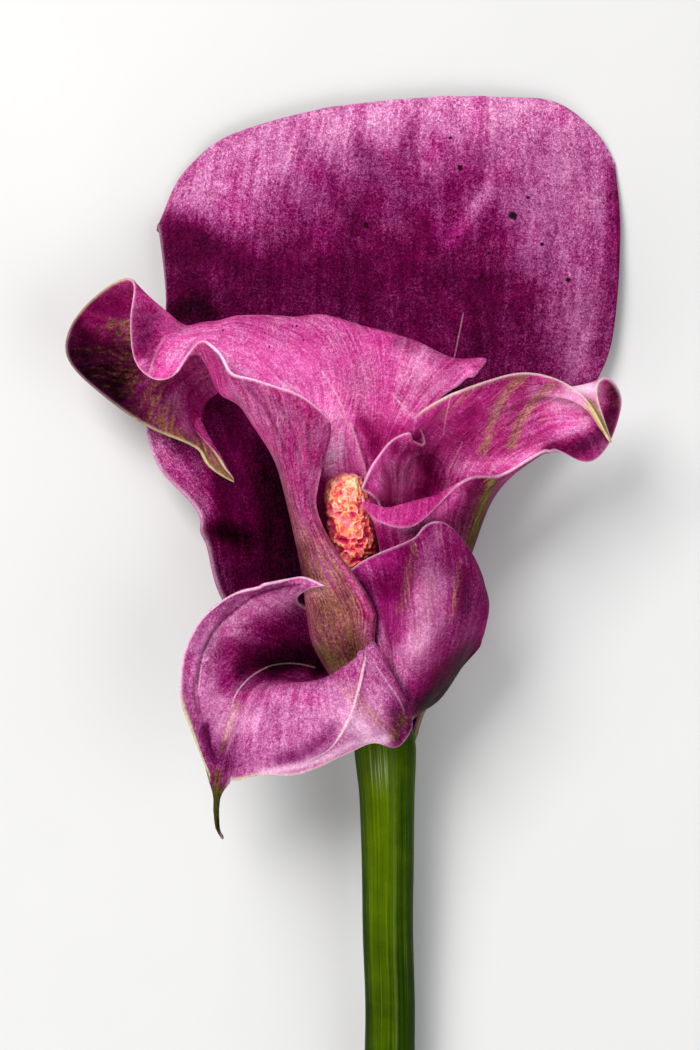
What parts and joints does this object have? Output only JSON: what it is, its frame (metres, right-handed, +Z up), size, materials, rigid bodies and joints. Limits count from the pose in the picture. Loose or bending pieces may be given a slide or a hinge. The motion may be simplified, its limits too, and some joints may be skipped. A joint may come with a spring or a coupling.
{
  "type": "calla lily flower",
  "caption": "Calla lily bloom lying on its back: nested magenta spathes with curled margins round a knobbly orange spadix, on a thick green stem with a clean cut end.",
  "frame": {"origin": "centre of the flower's bounding box in X and Y, on the surface the flower lies on", "axes": "+Y from the cut end of the stem to the top of the back spathe, +Z up from the surface, +X to the right as seen from above"},
  "size_m": [0.1122, 0.2384, 0.0375],
  "materials": {
    "stem_green": "waxy, ribbed green plant tissue",
    "spathe_front": "satin, mauve-magenta petal tissue with pale margins",
    "spathe_lower_right": "satin, deep magenta petal tissue with a pale tan band",
    "spathe_middle": "satin, bright pink petal tissue, tan-striped tube",
    "spathe_right": "satin, magenta petal tissue with olive stripes and cream margin",
    "spathe_back": "satin, purple-magenta petal tissue with fine streaks",
    "spadix_orange": "matt, knobbly orange-cream florets with red recesses"
  },
  "bodies": {
    "root": {"stem": "stem_green", "front_spathe": "spathe_front", "lower_right_spathe": "spathe_lower_right", "middle_spathe": "spathe_middle", "right_spathe": "spathe_right", "back_spathe": "spathe_back", "spadix": "spadix_orange"}
  },
  "joints": []
}
